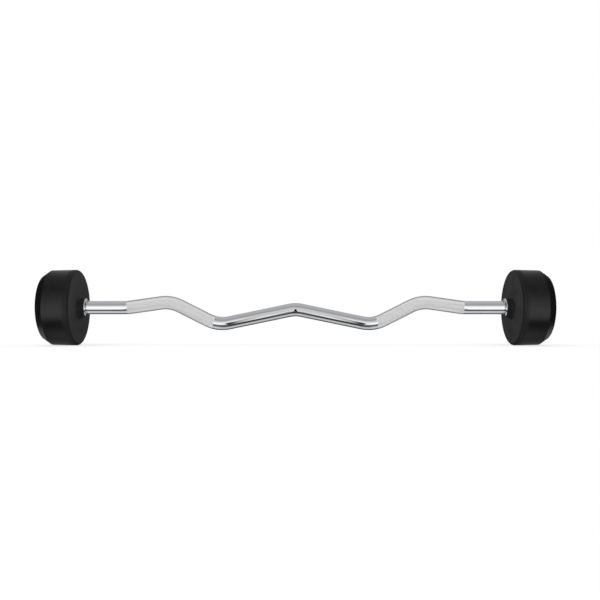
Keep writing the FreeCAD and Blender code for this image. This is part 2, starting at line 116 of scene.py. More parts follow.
@dataclass
class MeshDraft:
    """The points and faces of one piece while it is being built."""

    points: list[Vector] = field(default_factory=list)
    faces: list[tuple[int, ...]] = field(default_factory=list)
    along: list[float] = field(default_factory=list)
    groove: list[float] = field(default_factory=list)
    outward: list[Vector] = field(default_factory=list)

    def add_point(
        self, point: Vector, along: float, groove: float = 0.0, outward: Vector = Vector()
    ) -> int:
        """Add one point.

        Args:
            point: The place, in the part's frame.
            along: The distance along the bar or the turned outline.
            groove: How deep in a groove the point lies, from 0 to 1.
            outward: The direction away from the bar's centreline.

        Returns:
            The point's number.
        """
        self.points.append(point)
        self.along.append(along)
        self.groove.append(groove)
        self.outward.append(outward)
        return len(self.points) - 1

    def add_wheel(self, across: float, radius: float, count: int, along: float) -> list[int]:
        """Add a ring of points round the X axis.

        Args:
            across: The ring's place along X.
            radius: Its radius.
            count: How many points it has.
            along: The distance that its points carry.

        Returns:
            The points' numbers.
        """
        ring = []
        for step in range(count):
            turn = math.tau * step / count
            spot = Vector((across, radius * math.cos(turn), radius * math.sin(turn)))
            ring.append(self.add_point(spot, along))
        return ring

    def bridge(self, first: Sequence[int], second: Sequence[int]) -> None:
        """Join two rings of equal count with a belt of faces.

        Args:
            first: The first ring, as the numbers of its points.
            second: The second ring.
        """
        count = len(first)
        for spot in range(count):
            following = (spot + 1) % count
            self.faces.append((first[spot], first[following], second[following], second[spot]))

    def fan(self, ring: Sequence[int], centre: int) -> None:
        """Close a ring with a fan of faces round a centre point."""
        for spot, point in enumerate(ring):
            self.faces.append((point, ring[(spot + 1) % len(ring)], centre))

    def build(self, name: str, crease: float) -> bpy.types.Object:
        """Make the object, with its faces turned outward and shaded smooth up to a crease.

        Args:
            name: The piece's name.
            crease: The angle in radians above which an edge stays sharp.

        Returns:
            The new object, linked into the scene.
        """
        mesh = bpy.data.meshes.new(name)
        mesh.from_pydata(self.points, [], self.faces)
        for mark, values in ((Mark.ALONG, self.along), (Mark.GROOVE, self.groove)):
            layer = mesh.attributes.new(mark.value, "FLOAT", "POINT")
            layer.data.foreach_set("value", values)
        layer = mesh.attributes.new(Mark.OUTWARD.value, "FLOAT_VECTOR", "POINT")
        layer.data.foreach_set("vector", [part for arm in self.outward for part in arm])
        work = bmesh.new()
        work.from_mesh(mesh)
        bmesh.ops.recalc_face_normals(work, faces=work.faces)
        work.to_mesh(mesh)
        work.free()
        mesh.shade_smooth()
        mesh.set_sharp_from_angle(angle=crease)
        piece = bpy.data.objects.new(name, mesh)
        bpy.context.scene.collection.objects.link(piece)
        return piece


def flat_sheet(name: str, corners: Sequence[Vector]) -> bpy.types.Object:
    """Make a piece of one flat face.

    Args:
        name: The piece's name.
        corners: Its corners in order.

    Returns:
        The piece.
    """
    draft = MeshDraft()
    draft.faces.append(tuple(draft.add_point(corner, 0.0) for corner in corners))
    return draft.build(name, math.pi)


@dataclass(frozen=True)
class Corner:
    """One corner of a turned outline: its place along X, its radius and how far it is rounded."""

    across: float
    radius: float
    rounding: float = 0.0


@dataclass(frozen=True)
class TurnedShape:
    """A closed outline turned about the X axis."""

    corners: tuple[Corner, ...]
    turns: int = 256
    arc_steps: int = 10
    run_step: float = 4.0 * MM
    seam_step: float = 0.25 * MM
    short_run: float = 1.0 * MM

    def rounded(self, spot: int) -> list[tuple[float, float]]:
        """Find the points that stand for one corner.

        Args:
            spot: The corner's number.

        Returns:
            The corner itself, or the points of the arc that rounds it.
        """
        corner = self.corners[spot]
        here = Vector((corner.across, corner.radius))
        if corner.rounding == 0.0:
            return [(here.x, here.y)]
        before = self.corners[spot - 1]
        after = self.corners[(spot + 1) % len(self.corners)]
        back = (Vector((before.across, before.radius)) - here).normalized()
        ahead = (Vector((after.across, after.radius)) - here).normalized()
        half = back.angle(ahead) / 2
        middle = here + (back + ahead).normalized() * (corner.rounding / math.sin(half))
        start = here + back * (corner.rounding / math.tan(half)) - middle
        end = here + ahead * (corner.rounding / math.tan(half)) - middle
        points = []
        for step in range(self.arc_steps + 1):
            arm = start.slerp(end, step / self.arc_steps).normalized() * corner.rounding
            points.append((middle.x + arm.x, middle.y + arm.y))
        return points

    def outline(self) -> list[tuple[float, float]]:
        """Find the whole outline.

        Returns:
            Its points, with a close pair beside each corner so that the shading stays crisp.
        """
        groups = [self.rounded(spot) for spot in range(len(self.corners))]
        points = []
        for group, following in zip(groups, groups[1:] + groups[:1]):
            points.extend(group)
            start, end = Vector(group[-1]), Vector(following[0])
            run = (end - start).length
            if run < self.short_run:
                continue
            inner = max(1, round((run - 2 * self.seam_step) / self.run_step))
            for step in range(inner + 1):
                place = self.seam_step + (run - 2 * self.seam_step) * step / inner
                spot = start.lerp(end, place / run)
                points.append((spot.x, spot.y))
        return points

    def draft(self, to_frame: Callable[[float], float]) -> MeshDraft:
        """Turn the outline.

        Args:
            to_frame: Changes a place along the outline's own X into one in the part's frame.

        Returns:
            The turned mesh.
        """
        draft = MeshDraft()
        rings = []
        length = 0.0
        last = None
        for across, radius in self.outline():
            if last is not None:
                length += math.dist(last, (across, radius))
            last = (across, radius)
            count = 1 if radius == 0.0 else self.turns
            rings.append(draft.add_wheel(to_frame(across), radius, count, length))
        for ring, following in zip(rings, rings[1:] + rings[:1]):
            if len(ring) == len(following) == 1:
                continue
            if len(ring) == 1:
                draft.fan(following, ring[0])
            elif len(following) == 1:
                draft.fan(ring, following[0])
            else:
                draft.bridge(ring, following)
        return draft


# The bar's centreline

@dataclass(frozen=True)
class Station:
    """A place on the centreline, with the upward direction that is square to it."""

    point: Vector
    across: Vector

    def arm(self, turn: float) -> Vector:
        """Find the outward direction at an angle round the bar, from above toward the back."""
        return self.across * math.cos(turn) + DEPTH * math.sin(turn)


@dataclass(frozen=True)
class Leg:
    """A straight or evenly bent stretch of the centreline; its curvature is 0 where straight."""

    length: float
    curvature: float


@dataclass
class CurlCentreline:
    """The centreline of the bent bar: seven bends joined by straight runs, alike on both sides.

    From the middle outward they are the crown, then a valley, a peak and a foot on each side.
    """

    centre_drop: float = 4.6 * MM
    valley_run: float = 164.4 * MM
    valley_drop: float = 37.2 * MM
    peak_run: float = 99.3 * MM
    peak_rise: float = 13.0 * MM
    foot_run: float = 90.6 * MM
    bend_radius: float = 70.0 * MM
    foot_bend_radius: float = 140.0 * MM
    end_reach: float = 495.8 * MM
    halvings: int = 60
    legs: list[Leg] = field(init=False)

    def __post_init__(self) -> None:
        """Work out the legs of the right half, from the middle outward."""
        valley = Vector((self.valley_run, -self.valley_drop))
        peak = Vector((self.valley_run + self.peak_run, self.peak_rise))
        foot = Vector((self.valley_run + self.peak_run + self.foot_run, 0.0))
        end = Vector((self.end_reach, 0.0))
        hub = Vector((0.0, -self.centre_drop - self.bend_radius))
        away = valley - hub
        turn = math.atan2(away.y, away.x) + math.acos(self.bend_radius / away.length)
        touch = hub + Vector((math.cos(turn), math.sin(turn))) * self.bend_radius
        heading = turn - math.pi / 2
        self.legs = [Leg(-heading * self.bend_radius, -1 / self.bend_radius)]
        radii = (self.bend_radius, self.bend_radius, self.foot_bend_radius)
        leave = touch
        for corner, after, radius in zip((valley, peak, foot), (peak, foot, end), radii):
            run = after - corner
            bend = math.atan2(run.y, run.x) - heading
            setback = radius * math.tan(abs(bend) / 2)
            self.legs.append(Leg((corner - leave).length - setback, 0.0))
            self.legs.append(Leg(abs(bend) * radius, math.copysign(1 / radius, bend)))
            heading += bend
            leave = corner + run.normalized() * setback
        self.legs.append(Leg((end - leave).length, 0.0))

    @property
    def half_length(self) -> float:
        """The centreline's length from the middle to one end."""
        return sum(leg.length for leg in self.legs)

    def station(self, distance: float) -> Station:
        """Find the place at a distance from the middle.

        Args:
            distance: The distance along the centreline, below zero on the left.

        Returns:
            The place and its upward direction.
        """
        remaining = abs(distance)
        x, z, heading = 0.0, -self.centre_drop, 0.0
        for leg in self.legs:
            step = min(remaining, leg.length)
            if leg.curvature == 0.0:
                x += step * math.cos(heading)
                z += step * math.sin(heading)
            else:
                turned = heading + step * leg.curvature
                x += (math.sin(turned) - math.sin(heading)) / leg.curvature
                z += (math.cos(heading) - math.cos(turned)) / leg.curvature
                heading = turned
            remaining -= step
            if remaining <= 0.0:
                break
        side = math.copysign(1.0, distance)
        across = Vector((-side * math.sin(heading), 0.0, math.cos(heading)))
        return Station(Vector((side * x, 0.0, z)), across)

    def distance_at(self, reach: float) -> float:
        """Find how far along the centreline a reach in X lies.

        Args:
            reach: The place along X, on the right half.

        Returns:
            The distance along the centreline.
        """
        low, high = 0.0, self.half_length
        for _ in range(self.halvings):
            middle = (low + high) / 2
            if self.station(middle).point.x < reach:
                low = middle
            else:
                high = middle
        return (low + high) / 2


# Nodes

class NodeDesk:
    """Adds and links the nodes of one material, group or world."""

    # How far apart nodes are laid out, and how many make a column
    SPACING = 190.0
    ROWS = 7
    # Where a mix node keeps its two colours and their blend
    MIX_COLOURS = (6, 7)
    MIX_RESULT = 2

    def __init__(self, tree: bpy.types.NodeTree) -> None:
        """Start on a node tree and clear it."""
        self.tree = tree
        tree.nodes.clear()

    def add(self, kind: str, **settings: object) -> bpy.types.Node:
        """Add a node.

        Args:
            kind: The node's type.
            settings: Values for the node's own properties.

        Returns:
            The node, placed after the last one.
        """
        node = self.tree.nodes.new(kind)
        count = len(self.tree.nodes)
        node.location = (self.SPACING * (count // self.ROWS), -self.SPACING * (count % self.ROWS))
        for name, value in settings.items():
            setattr(node, name, value)
        return node

    def give(self, socket: Socket, value: object) -> None:
        """Link an input to a socket, or set it to a plain value.

        Args:
            socket: The input.
            value: The socket to link it to, or the value to set.
        """
        if isinstance(value, Socket):
            self.tree.links.new(value, socket)
        else:
            socket.default_value = value

    def feed(self, node: bpy.types.Node, **values: object) -> bpy.types.Node:
        """Set or link a node's inputs.

        Args:
            node: The node.
            values: Inputs by name, with underscores for spaces.

        Returns:
            The same node.
        """
        for name, value in values.items():
            self.give(node.inputs[name.replace("_", " ")], value)
        return node

    def math(self, operation: str, first: object, second: object = 0.0, clamp: bool = False) -> Socket:
        """Add a sum.

        Args:
            operation: The kind of sum.
            first: The first number or socket.
            second: The second number or socket.
            clamp: Keep the result from 0 to 1.

        Returns:
            The result.
        """
        node = self.add("ShaderNodeMath", operation=operation, use_clamp=clamp)
        self.give(node.inputs[0], first)
        self.give(node.inputs[1], second)
        return node.outputs[0]

    def add_share(self, total: Socket, part: Socket, share: float, clamp: bool = False) -> Socket:
        """Add a share of a part to a total, and clamp the result from 0 to 1 where asked."""
        return self.math("ADD", total, self.math("MULTIPLY", part, share), clamp)

    def opposite(self, mask: Socket) -> Socket:
        """Turn a mask round, so that it is 1 where it was 0."""
        return self.math("SUBTRACT", 1.0, mask)

    def ease(self, value: Socket, start: object, end: object) -> Socket:
        """Rise smoothly from 0 to 1 while a value goes from start to end.

        Args:
            value: The value.
            start: Where the rise starts.
            end: Where the rise ends.

        Returns:
            The risen value.
        """
        node = self.add("ShaderNodeMapRange", interpolation_type="SMOOTHSTEP")
        self.feed(node, Value=value, From_Min=start, From_Max=end)
        return node.outputs["Result"]

    def level(self, mask: Socket, low: float, high: float) -> Socket:
        """Run a number from low to high as a mask goes from 0 to 1."""
        node = self.feed(self.add("ShaderNodeMapRange"), Value=mask, To_Min=low, To_Max=high)
        return node.outputs["Result"]

    def blend(self, mask: Socket, first: object, second: object) -> Socket:
        """Blend two colours by a mask.

        Args:
            mask: The share of the second colour.
            first: The colour where the mask is 0.
            second: The colour where the mask is 1.

        Returns:
            The blended colour.
        """
        node = self.add("ShaderNodeMix", data_type="RGBA")
        self.give(node.inputs[0], mask)
        for spot, value in zip(self.MIX_COLOURS, (first, second)):
            self.give(node.inputs[spot], value if isinstance(value, Socket) else solid(value))
        return node.outputs[self.MIX_RESULT]

    def position(self) -> Socket:
        """Give the place on the object, in metres."""
        return self.add("ShaderNodeTexCoord").outputs["Object"]

    def axis(self, vector: Socket, name: str) -> Socket:
        """Take one axis of a vector."""
        return self.feed(self.add("ShaderNodeSeparateXYZ"), Vector=vector).outputs[name]

    def mark(self, measure: Mark, output: str = "Fac") -> Socket:
        """Read a measure that the mesh carries."""
        return self.add("ShaderNodeAttribute", attribute_name=measure.value).outputs[output]

    def noise(self, place: Socket, detail: float, scale: float = 1.0, **more: float) -> Socket:
        """Add a cloudy noise, with the detail as its finer layers and more of its inputs by name."""
        node = self.add("ShaderNodeTexNoise")
        return self.feed(node, Vector=place, Scale=scale, Detail=detail, **more).outputs[0]

    def place(self, group: bpy.types.NodeTree, **values: object) -> Socket:
        """Place a shared group, set or link its inputs by name and give its result."""
        return self.feed(self.add("ShaderNodeGroup", node_tree=group), **values).outputs[0]

    def surface(self, shader: Socket, output: str = "ShaderNodeOutputMaterial") -> None:
        """Lead a shader out to the surface."""
        self.feed(self.add(output), Surface=shader)


def solid(colour: Colour) -> tuple[float, float, float, float]:
    """Give a colour its full cover, as a colour input takes it."""
    return (*colour, 1.0)


def grey(brightness: float) -> Colour:
    """Give the grey of a brightness."""
    return (brightness, brightness, brightness)


def start_material(name: str) -> tuple[bpy.types.Material, NodeDesk]:
    """Start a material.

    Args:
        name: Its name.

    Returns:
        The material and the desk to build it on.
    """
    material = bpy.data.materials.new(name)
    material.use_nodes = True
    return material, NodeDesk(material.node_tree)


class SharedEffects:
    """Node groups that more than one finish uses, each built once."""

    GRAIN_DETAIL = 3.0
    GRAIN_CLOUD_SHARE = 0.6
    PEBBLE_SCALE = 0.8
    PEBBLE_SMOOTHNESS = 0.6
    MARK_DETAIL = 5.0
    MARK_ROUGHNESS = 0.62
    MARK_TWIST = 0.5
    MARK_START = 0.85
    MARK_START_DROP = 0.6
    MARK_RISE = 0.22
    RING_DETAIL = 4.0
    RING_CHANGES_PER_METRE = 60.0
    SCRATCH_TILT = (0.35, 0.5, 0.25)
    SCRATCH_WIDTH = 0.012
    SCRATCH_PATCH_SCALE = 1.7
    SCRATCH_PATCH_DETAIL = 2.0
    SCRATCH_PATCH = (0.5, 0.68)
    WEAR_DETAIL = 4.0
    WEAR_BREAKS = (0.35, 0.6)

    def __init__(self) -> None:
        """Build every group."""
        self.grain = self.make_grain()
        self.marks = self.make_marks()
        self.turning = self.make_turning()
        self.scratches = self.make_scratches()
        self.wear = self.make_wear()
        self.window = self.make_window()

    def start(
        self, name: str, inputs: dict[str, float | None], output: str
    ) -> tuple[NodeDesk, bpy.types.Node]:
        """Start a group.

        Args:
            name: The group's name.
            inputs: Its inputs with their first values; None makes a vector.
            output: Its number output.

        Returns:
            The desk to build it on and the node that gives its inputs.
        """
        tree = bpy.data.node_groups.new(name, "ShaderNodeTree")
        for label, value in inputs.items():
            kind = "NodeSocketVector" if value is None else "NodeSocketFloat"
            socket = tree.interface.new_socket(label, in_out="INPUT", socket_type=kind)
            if value is not None:
                socket.default_value = value
        tree.interface.new_socket(output, in_out="OUTPUT", socket_type="NodeSocketFloat")
        desk = NodeDesk(tree)
        return desk, desk.add("NodeGroupInput")

    def end(self, desk: NodeDesk, result: Socket) -> bpy.types.NodeTree:
        """Lead a group's result out of it and give the group."""
        desk.give(desk.add("NodeGroupOutput").inputs[0], result)
        return desk.tree

    def scaled(self, desk: NodeDesk, given: bpy.types.Node) -> Socket:
        """Divide the given position by the given size, so that one unit of it is one size long.

        Args:
            desk: The group's desk.
            given: The node that gives the group's inputs.

        Returns:
            The scaled position.
        """
        per_size = desk.math("DIVIDE", 1.0, given.outputs["Size"])
        scaled = desk.add("ShaderNodeVectorMath", operation="SCALE")
        return desk.feed(scaled, Vector=given.outputs["Position"], Scale=per_size).outputs[0]

    def make_grain(self) -> bpy.types.NodeTree:
        """Build the fine pebbled grain of moulded and cast surfaces.

        Returns:
            The group, which puts out a height.
        """
        desk, given = self.start("surface_grain", {"Position": None, "Size": MM}, "Height")
        place = self.scaled(desk, given)
        cells = desk.add("ShaderNodeTexVoronoi", feature="SMOOTH_F1")
        desk.feed(cells, Vector=place, Scale=self.PEBBLE_SCALE, Smoothness=self.PEBBLE_SMOOTHNESS)
        cloud = desk.noise(place, self.GRAIN_DETAIL)
        return self.end(desk, desk.add_share(cells.outputs["Distance"], cloud, self.GRAIN_CLOUD_SHARE))

    def make_marks(self) -> bpy.types.NodeTree:
        """Build the soft blotches that hands and shelves leave.

        Returns:
            The group, which puts out a mask.
        """
        inputs = {"Position": None, "Size": 30.0 * MM, "Coverage": 0.5}
        desk, given = self.start("handling_marks", inputs, "Mask")
        cloud = desk.noise(
            self.scaled(desk, given), self.MARK_DETAIL,
            Roughness=self.MARK_ROUGHNESS, Distortion=self.MARK_TWIST)
        drop = desk.math("MULTIPLY", given.outputs["Coverage"], self.MARK_START_DROP)
        start = desk.math("SUBTRACT", self.MARK_START, drop)
        return self.end(desk, desk.ease(cloud, start, desk.math("ADD", start, self.MARK_RISE)))

    def make_turning(self) -> bpy.types.NodeTree:
        """Build the faint rings that a lathe or a polishing wheel leaves round a piece.

        Returns:
            The group, which puts out a height.
        """
        inputs = {"Position": None, "Along": 0.0, "Pitch": 0.3 * MM}
        desk, given = self.start("turning_rings", inputs, "Height")
        joined = desk.add("ShaderNodeCombineXYZ")
        desk.feed(joined, X=desk.math("DIVIDE", given.outputs["Along"], given.outputs["Pitch"]))
        for name in ("Y", "Z"):
            part = desk.axis(given.outputs["Position"], name)
            desk.give(joined.inputs[name], desk.math("MULTIPLY", part, self.RING_CHANGES_PER_METRE))
        return self.end(desk, desk.noise(joined.outputs[0], self.RING_DETAIL))

    def make_scratches(self) -> bpy.types.NodeTree:
        """Build sparse hairline scratches.

        Returns:
            The group, which puts out a mask.
        """
        inputs = {"Position": None, "Size": 12.0 * MM, "Stretch": 0.12}
        desk, given = self.start("hairline_scratches", inputs, "Mask")
        place = self.scaled(desk, given)
        shape = desk.feed(desk.add("ShaderNodeCombineXYZ"), X=given.outputs["Stretch"], Y=1.0, Z=1.0)
        tilted = desk.add("ShaderNodeMapping", vector_type="POINT")
        desk.feed(tilted, Vector=place, Rotation=self.SCRATCH_TILT, Scale=shape.outputs[0])
        cells = desk.add("ShaderNodeTexVoronoi", feature="DISTANCE_TO_EDGE")
        desk.feed(cells, Vector=tilted.outputs[0], Scale=1.0)
        line = desk.opposite(desk.ease(cells.outputs["Distance"], 0.0, self.SCRATCH_WIDTH))
        patch = desk.noise(place, self.SCRATCH_PATCH_DETAIL, self.SCRATCH_PATCH_SCALE)
        return self.end(desk, desk.math("MULTIPLY", line, desk.ease(patch, *self.SCRATCH_PATCH)))

    def make_wear(self) -> bpy.types.NodeTree:
        """Build the rubbed look of outward edges.

        Returns:
            The group, which puts out a mask.
        """
        inputs = {"Position": None, "Start": 0.51, "End": 0.56, "Size": 5.0 * MM}
        desk, given = self.start("edge_wear", inputs, "Mask")
        bulge = desk.add("ShaderNodeNewGeometry").outputs["Pointiness"]
        edge = desk.ease(bulge, given.outputs["Start"], given.outputs["End"])
        broken = desk.noise(self.scaled(desk, given), self.WEAR_DETAIL)
        return self.end(desk, desk.math("MULTIPLY", edge, desk.ease(broken, *self.WEAR_BREAKS)))

    def make_window(self) -> bpy.types.NodeTree:
        """Build a soft-edged band between two values.

        Returns:
            The group, which puts out a mask.
        """
        inputs = {"Value": 0.0, "From": -1.0, "To": 1.0, "Rise": 0.1, "Fall": 0.1}
        desk, given = self.start("soft_window", inputs, "Mask")
        value, low, high, rise, fall = (given.outputs[name] for name in inputs)
        risen = desk.ease(value, desk.math("SUBTRACT", low, rise), low)
        fallen = desk.ease(value, high, desk.math("ADD", high, fall))
        return self.end(desk, desk.math("MULTIPLY", risen, desk.opposite(fallen)))


# Finishes

@dataclass(frozen=True)
class Finish:
    """What every finish has: its name, the shared effects and a way to lay its shader."""

    name: str
    effects: SharedEffects

    def coat(self, desk: NodeDesk, height: Socket, depth: float, **inputs: object) -> None:
        """Add the shader, with its small relief, and lead it out to the surface.

        Args:
            desk: The material's desk.
            height: The relief, in multiples of the depth.
            depth: How far a relief of 1 stands out, in metres.
            inputs: The shader's inputs by name, with underscores for spaces.
        """
        relief = desk.feed(desk.add("ShaderNodeBump"), Height=height, Distance=depth)
        shader = desk.add("ShaderNodeBsdfPrincipled")
        desk.feed(shader, Normal=relief.outputs[0], **inputs)
        desk.surface(shader.outputs[0])


@dataclass(frozen=True)
class ChromeFinish(Finish):
    """Bright chrome plate over ground steel."""

    tint: Colour = (0.86, 0.865, 0.88)
    dull_tint: Colour = (0.74, 0.74, 0.76)
    roughness: float = 0.03
    dull_roughness: float = 0.08
    ring_pitch: float = 0.35 * MM
    ring_depth: float = 0.0012 * MM
    haze_size: float = 26.0 * MM
    haze_cover: float = 0.55
    haze_share: float = 0.5
    hairline_size: float = 11.0 * MM
    hairline_share: float = 0.5

    def material(self) -> bpy.types.Material:
        """Build the finish: rings, haze and hairlines over a mirror.

        Returns:
            The material.
        """
        material, desk = start_material(self.name)
        place = desk.position()
        along = desk.mark(Mark.ALONG)
        rings = desk.place(self.effects.turning, Position=place, Along=along, Pitch=self.ring_pitch)
        haze = desk.place(
            self.effects.marks, Position=place, Size=self.haze_size, Coverage=self.haze_cover)
        lines = desk.place(self.effects.scratches, Position=place, Size=self.hairline_size)
        dull = desk.math("MULTIPLY", haze, self.haze_share)
        dull = desk.add_share(dull, lines, self.hairline_share, clamp=True)
        colour = desk.blend(dull, self.tint, self.dull_tint)
        rough = desk.level(dull, self.roughness, self.dull_roughness)
        height = desk.math("SUBTRACT", rings, lines)
        self.coat(desk, height, self.ring_depth, Base_Color=colour, Metallic=1.0, Roughness=rough)
        return material


@dataclass(frozen=True)
class KnurlFinish(Finish):
    """Satin chrome over rolled knurling, pale on its crests and duller down in its grooves, with painted
    shade on the edges that turn from the view.
    """

    crest_tint: Colour = (0.95, 0.95, 0.955)
    groove_tint: Colour = (0.86, 0.86, 0.87)
    worn_tint: Colour = (0.85, 0.85, 0.86)
    # Painted shade: the knurl darkens to this tint towards the edges that turn from the view
    edge_shade_tint: Colour = (0.36, 0.36, 0.37)
    edge_shade_from: float = 0.30
    edge_shade_to: float = 0.62
    metallic: float = 0.30
    roughness: float = 0.26
    groove_roughness: float = 0.48
    mark_size: float = 22.0 * MM
    mark_share: float = 0.5
    mark_roughness: float = 0.12
    grain_size: float = 0.3 * MM
    grain_depth: float = 0.006 * MM

    def material(self) -> bpy.types.Material:
        """Build the finish: a fine satin grain, hand marks, dull grooves and painted shade on the edges
        that turn from the view.

        Returns:
            The material.
        """
        material, desk = start_material(self.name)
        place = desk.position()
        groove = desk.mark(Mark.GROOVE)
        grain = desk.place(self.effects.grain, Position=place, Size=self.grain_size)
        marks = desk.place(self.effects.marks, Position=place, Size=self.mark_size)
        soft = desk.math("MULTIPLY", marks, self.mark_share)
        # Painted shade: darker towards the bar's edges as they turn from the view, by how squarely the
        # outward direction faces it
        facing = desk.add("ShaderNodeLayerWeight")
        desk.feed(facing, Normal=desk.mark(Mark.OUTWARD, "Vector"))
        turned = desk.ease(facing.outputs["Facing"], self.edge_shade_from, self.edge_shade_to)
        colour = desk.blend(soft, self.crest_tint, self.worn_tint)
        colour = desk.blend(groove, colour, self.groove_tint)
        colour = desk.blend(turned, colour, self.edge_shade_tint)
        rough = desk.level(groove, self.roughness, self.groove_roughness)
        rough = desk.add_share(rough, soft, self.mark_roughness)
        self.coat(
            desk, grain, self.grain_depth, Base_Color=colour, Metallic=self.metallic, Roughness=rough)
        return material


@dataclass(frozen=True)
class RubberFinish(Finish):
    """Black moulded rubber: a soft sheen on its sides, matte on its faces and inner edges, and a paler
    tint on its faces as painted light.
    """

    tint: Colour = (0.004, 0.004, 0.0042)
    # Painted light: the flat faces take this paler tint for the light they catch
    face_light_tint: Colour = (0.030, 0.030, 0.0314)
    face_from: float = 0.86
    face_to: float = 0.99
    bloom_tint: Colour = (0.0085, 0.0085, 0.0088)
    bloom_size: float = 38.0 * MM
    bloom_cover: float = 0.6
    bloom_share: float = 0.6
    scuff_size: float = 17.0 * MM
    scuff_stretch: float = 0.3
    scuff_share: float = 0.35
    worn_tint: Colour = (0.018, 0.018, 0.018)
    roughness: float = 0.25
    bloom_roughness: float = 0.32
    face_roughness: float = 0.40
    grain_roughness: float = 0.04
    edge_roughness: float = 0.28
    edge_inner: float = 464.0 * MM
    edge_outer: float = 473.0 * MM
    refraction: float = 1.5
    specular: float = 0.42
    grain_size: float = 0.45 * MM
    grain_depth: float = 0.008 * MM
    swell_size: float = 14.0 * MM
    swell_share: float = 4.0

    def material(self) -> bpy.types.Material:
        """Build the finish: fine grain, bloom, scuffs, rubbed edges and painted light on the flat faces.

        Returns:
            The material.
        """
        material, desk = start_material(self.name)
        place = desk.position()
        grain = desk.place(self.effects.grain, Position=place, Size=self.grain_size)
        swell = desk.place(self.effects.grain, Position=place, Size=self.swell_size)
        bloom = desk.place(
            self.effects.marks, Position=place, Size=self.bloom_size, Coverage=self.bloom_cover)
        scuffs = desk.place(
            self.effects.scratches, Position=place, Size=self.scuff_size, Stretch=self.scuff_stretch)
        soft = desk.math("MULTIPLY", bloom, self.bloom_share)
        soft = desk.add_share(soft, scuffs, self.scuff_share, clamp=True)
        outward = desk.axis(desk.add("ShaderNodeNewGeometry").outputs["Normal"], "X")
        face = desk.ease(desk.math("ABSOLUTE", outward), self.face_from, self.face_to)
        reach = desk.math("ABSOLUTE", desk.axis(place, "X"))
        side = desk.ease(reach, self.edge_inner, self.edge_outer)
        edge = desk.opposite(desk.math("MAXIMUM", side, face))
        # Painted light: the flat faces are tinted paler than the sides
        colour = desk.blend(face, self.tint, self.face_light_tint)
        colour = desk.blend(soft, colour, self.bloom_tint)
        colour = desk.blend(desk.place(self.effects.wear, Position=place), colour, self.worn_tint)
        rough = desk.level(soft, self.roughness, self.bloom_roughness)
        rough = desk.add_share(rough, grain, self.grain_roughness)
        rough = desk.add_share(rough, face, self.face_roughness)
        rough = desk.add_share(rough, edge, self.edge_roughness)
        self.coat(
            desk, desk.add_share(grain, swell, self.swell_share), self.grain_depth,
            Base_Color=colour, Roughness=rough, IOR=self.refraction, Specular_IOR_Level=self.specular)
        return material


@dataclass(frozen=True)
class CastIronFinish(Finish):
    """Sand-cast iron, dark and coarse, with blotches of rust."""

    tint: Colour = (0.10, 0.098, 0.095)
    rust_tint: Colour = (0.13, 0.055, 0.025)
    bright_tint: Colour = (0.28, 0.28, 0.28)
    metallic: float = 0.75
    roughness: float = 0.55
    rust_roughness: float = 0.82
    rust_size: float = 16.0 * MM
    rust_cover: float = 0.45
    grain_size: float = 1.1 * MM
    grain_depth: float = 0.12 * MM

    def material(self) -> bpy.types.Material:
        """Build the finish: cast grain, rust blotches and rubbed edges.

        Returns:
            The material.
        """
        material, desk = start_material(self.name)
        place = desk.position()
        grain = desk.place(self.effects.grain, Position=place, Size=self.grain_size)
        rust = desk.place(
            self.effects.marks, Position=place, Size=self.rust_size, Coverage=self.rust_cover)
        wear = desk.place(self.effects.wear, Position=place)
        colour = desk.blend(rust, self.tint, self.rust_tint)
        colour = desk.blend(wear, colour, self.bright_tint)
        rough = desk.level(rust, self.roughness, self.rust_roughness)
        self.coat(
            desk, grain, self.grain_depth, Base_Color=colour, Metallic=self.metallic, Roughness=rough)
        return material


@dataclass(frozen=True)
class SteelFinish(Finish):
    """Ground, plated or blackened steel of the small fixings."""

    tint: Colour
    dull_tint: Colour
    roughness: float
    dull_roughness: float
    worn_tint: Colour = (0.6, 0.6, 0.6)
    blotch_size: float = 7.0 * MM
    hairline_size: float = 4.0 * MM
    ring_depth: float = 0.01 * MM

    def material(self) -> bpy.types.Material:
        """Build the finish: turning rings, blotches, hairlines and rubbed edges.

        Returns:
            The material.
        """
        material, desk = start_material(self.name)
        place = desk.position()
        rings = desk.place(self.effects.turning, Position=place, Along=desk.axis(place, "X"))
        blotch = desk.place(self.effects.marks, Position=place, Size=self.blotch_size)
        lines = desk.place(self.effects.scratches, Position=place, Size=self.hairline_size)
        wear = desk.place(self.effects.wear, Position=place)
        dull = desk.math("MAXIMUM", blotch, lines)
        colour = desk.blend(dull, self.tint, self.dull_tint)
        colour = desk.blend(wear, colour, self.worn_tint)
        rough = desk.level(dull, self.roughness, self.dull_roughness)
        self.coat(desk, rings, self.ring_depth, Base_Color=colour, Metallic=1.0, Roughness=rough)
        return material


@dataclass
class FinishRack:
    """Every finish of the barbell, each made once."""

    effects: SharedEffects

    def __post_init__(self) -> None:
        """Make the materials."""
        effects = self.effects
        self.chrome = ChromeFinish("bar_chrome_plate", effects).material()
        self.knurl = KnurlFinish("knurl_satin_chrome", effects).material()
        self.ring = ChromeFinish("ring_chrome_plate", effects, roughness=0.07).material()
        self.cover = RubberFinish("cover_rubber", effects).material()
        self.plug = RubberFinish("plug_rubber_bare", effects, roughness=0.34, specular=0.35).material()
        self.iron = CastIronFinish("core_cast_iron", effects).material()
        self.key = SteelFinish(
            "key_ground_steel", effects, tint=(0.5, 0.5, 0.51), dull_tint=(0.36, 0.36, 0.37),
            roughness=0.24, dull_roughness=0.4).material()
        self.washer = SteelFinish(
            "washer_zinc_plate", effects, tint=(0.62, 0.62, 0.6), dull_tint=(0.5, 0.49, 0.44),
            roughness=0.3, dull_roughness=0.48).material()
        self.bolt = SteelFinish(
            "bolt_black_oxide", effects, tint=(0.05, 0.05, 0.055), dull_tint=(0.09, 0.075, 0.06),
            roughness=0.38, dull_roughness=0.55).material()


# Sub-assemblies

